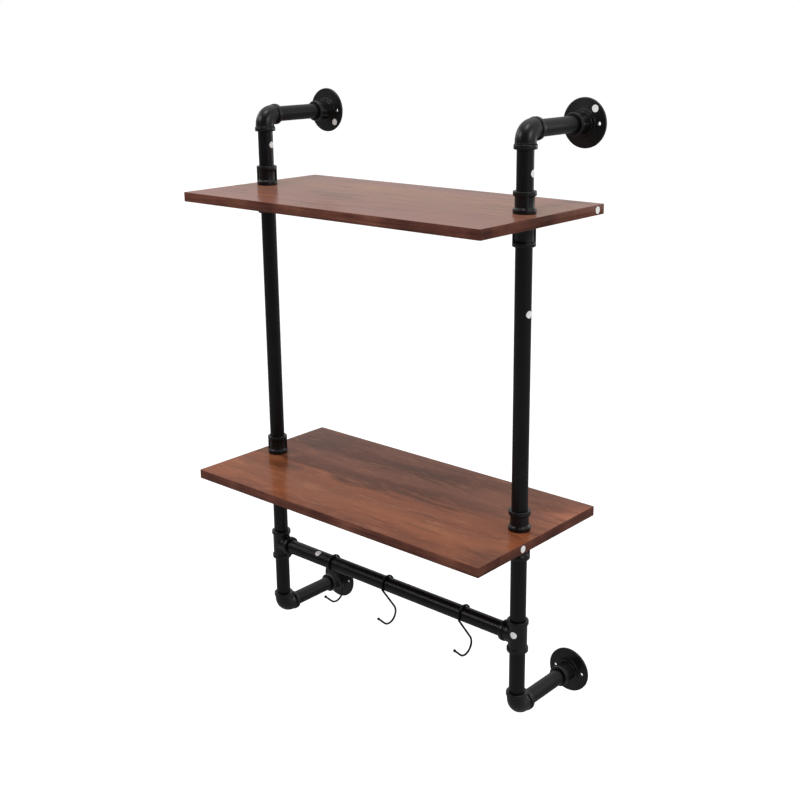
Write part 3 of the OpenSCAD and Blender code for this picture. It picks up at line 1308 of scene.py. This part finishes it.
@dataclass
class Studio:
    """The camera, the lamps, the white world and the pale floor, with their places in metres."""

    eye: Spot = (1.255651, -1.521422, 0.587583)
    turn: Spot = (74.662, 0.6315, 41.6082)
    lens: float = 54.0
    sensor: float = 36.0
    rise: float = -0.055
    sight: float = 100.0
    floor_z: float = -0.86
    floor_size: float = 24.0
    floor_shade: str = "#a4a4a4"
    floor_glow: float = 0.74
    ambient: float = 0.42
    dim_side: float = 0.1
    dim_until: float = -0.6
    bright_from: float = 0.3
    lamps: tuple[SoftLamp, ...] = (
        SoftLamp("key_lamp", (0.3, -0.9, 3.0), (0, 0, 0), 1.05, spread=18.0),
        SoftLamp("sky_lamp", (-0.5, 0.3, 3.0), (0, 0, 0), 0.75, spread=70.0),
        SoftLamp("front_lamp", (-1.7, -2.5, 2.0), (0, -0.1, 0.3), 34.0, across=1.1),
        SoftLamp("left_lamp", (-2.7, -0.6, 1.5), (0, -0.15, 0), 14.0, across=1.0),
        SoftLamp("right_lamp", (2.5, -0.5, 1.3), (0, -0.15, 0), 18.0, across=0.9),
        SoftLamp("back_lamp", (1.1, 3.0, 0.5), (0, 0, 0), 14.0, across=1.0),
    )

    def set_camera(self) -> None:
        """Puts the camera where the photograph's was."""
        camera = bpy.data.cameras.new("photo_camera")
        camera.sensor_width = self.sensor
        camera.sensor_fit = "HORIZONTAL"
        camera.lens = self.lens
        camera.shift_y = self.rise
        camera.clip_end = self.sight
        holder = bpy.data.objects.new("photo_camera", camera)
        holder.location = self.eye
        holder.rotation_euler = [math.radians(angle) for angle in self.turn]
        bpy.context.scene.collection.objects.link(holder)
        bpy.context.scene.camera = holder

    def set_world(self) -> None:
        """A white studio, which the gloss mirrors bright from behind the shelf and dim from before it."""
        world = bpy.data.worlds.new("studio_white")
        bpy.context.scene.world = world
        tree = bare_tree(world)
        path = add_node(tree, "LightPath")
        way = add_node(tree, "TexCoord").outputs["Generated"]
        depth = add_node(tree, "SeparateXYZ", {"Vector": way}).outputs["Y"]
        limits = {"Value": depth, "From Min": self.dim_until, "From Max": self.bright_from}
        mirrored = add_node(tree, "MapRange", limits | {"To Min": self.dim_side, "To Max": 1.0})
        strength: Any = self.ambient
        for ray, shown in (("Is Glossy Ray", mirrored), ("Is Camera Ray", 1.0)):
            inputs = {0: path.outputs[ray], 2: strength, 3: shown}
            strength = add_node(tree, "Mix", inputs, data_type="FLOAT")
        back = add_node(tree, "Background", {"Color": linear("#ffffff"), "Strength": strength})
        add_node(tree, "OutputWorld", {"Surface": back})

    def lay_floor(self) -> None:
        """A pale floor under the shelf, which glows a little to the camera and keeps the shadow."""
        put_down_tools()
        bpy.ops.mesh.primitive_plane_add(size=self.floor_size, location=(0, 0, self.floor_z))
        floor = bpy.context.object
        floor.name = "studio_floor"
        finish = bpy.data.materials.new("studio_floor_paint")
        tree = bare_tree(finish)
        matt = add_node(tree, "BsdfDiffuse", {"Color": linear(self.floor_shade)})
        seen = add_node(tree, "LightPath").outputs["Is Camera Ray"]
        glow = add_node(tree, "Math", {0: seen, 1: self.floor_glow}, operation="MULTIPLY")
        lift = add_node(tree, "Emission", {"Color": linear("#ffffff"), "Strength": glow})
        add_node(tree, "OutputMaterial", {"Surface": add_node(tree, "AddShader", {0: matt, 1: lift})})
        floor.data.materials.append(finish)

    def build(self) -> None:
        """Sets the whole studio."""
        self.set_camera()
        self.set_world()
        self.lay_floor()
        for lamp in self.lamps:
            lamp.light()
        bpy.context.scene.view_settings.view_transform = "Standard"


def main() -> None:
    """Loads the frame, dresses it piece by piece and sets the studio round it."""
    logging.basicConfig(level=logging.INFO, format="%(name)s: %(message)s")
    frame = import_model()
    Studio().build()
    parts = [Boards(frame), Pipes(frame), Fittings(frame), Hooks(frame), Dots(frame)]
    for part in parts:
        part.build()
    log.info("%d new pieces", sum(len(part.made) for part in parts))


if __name__ == "__main__":
    main()
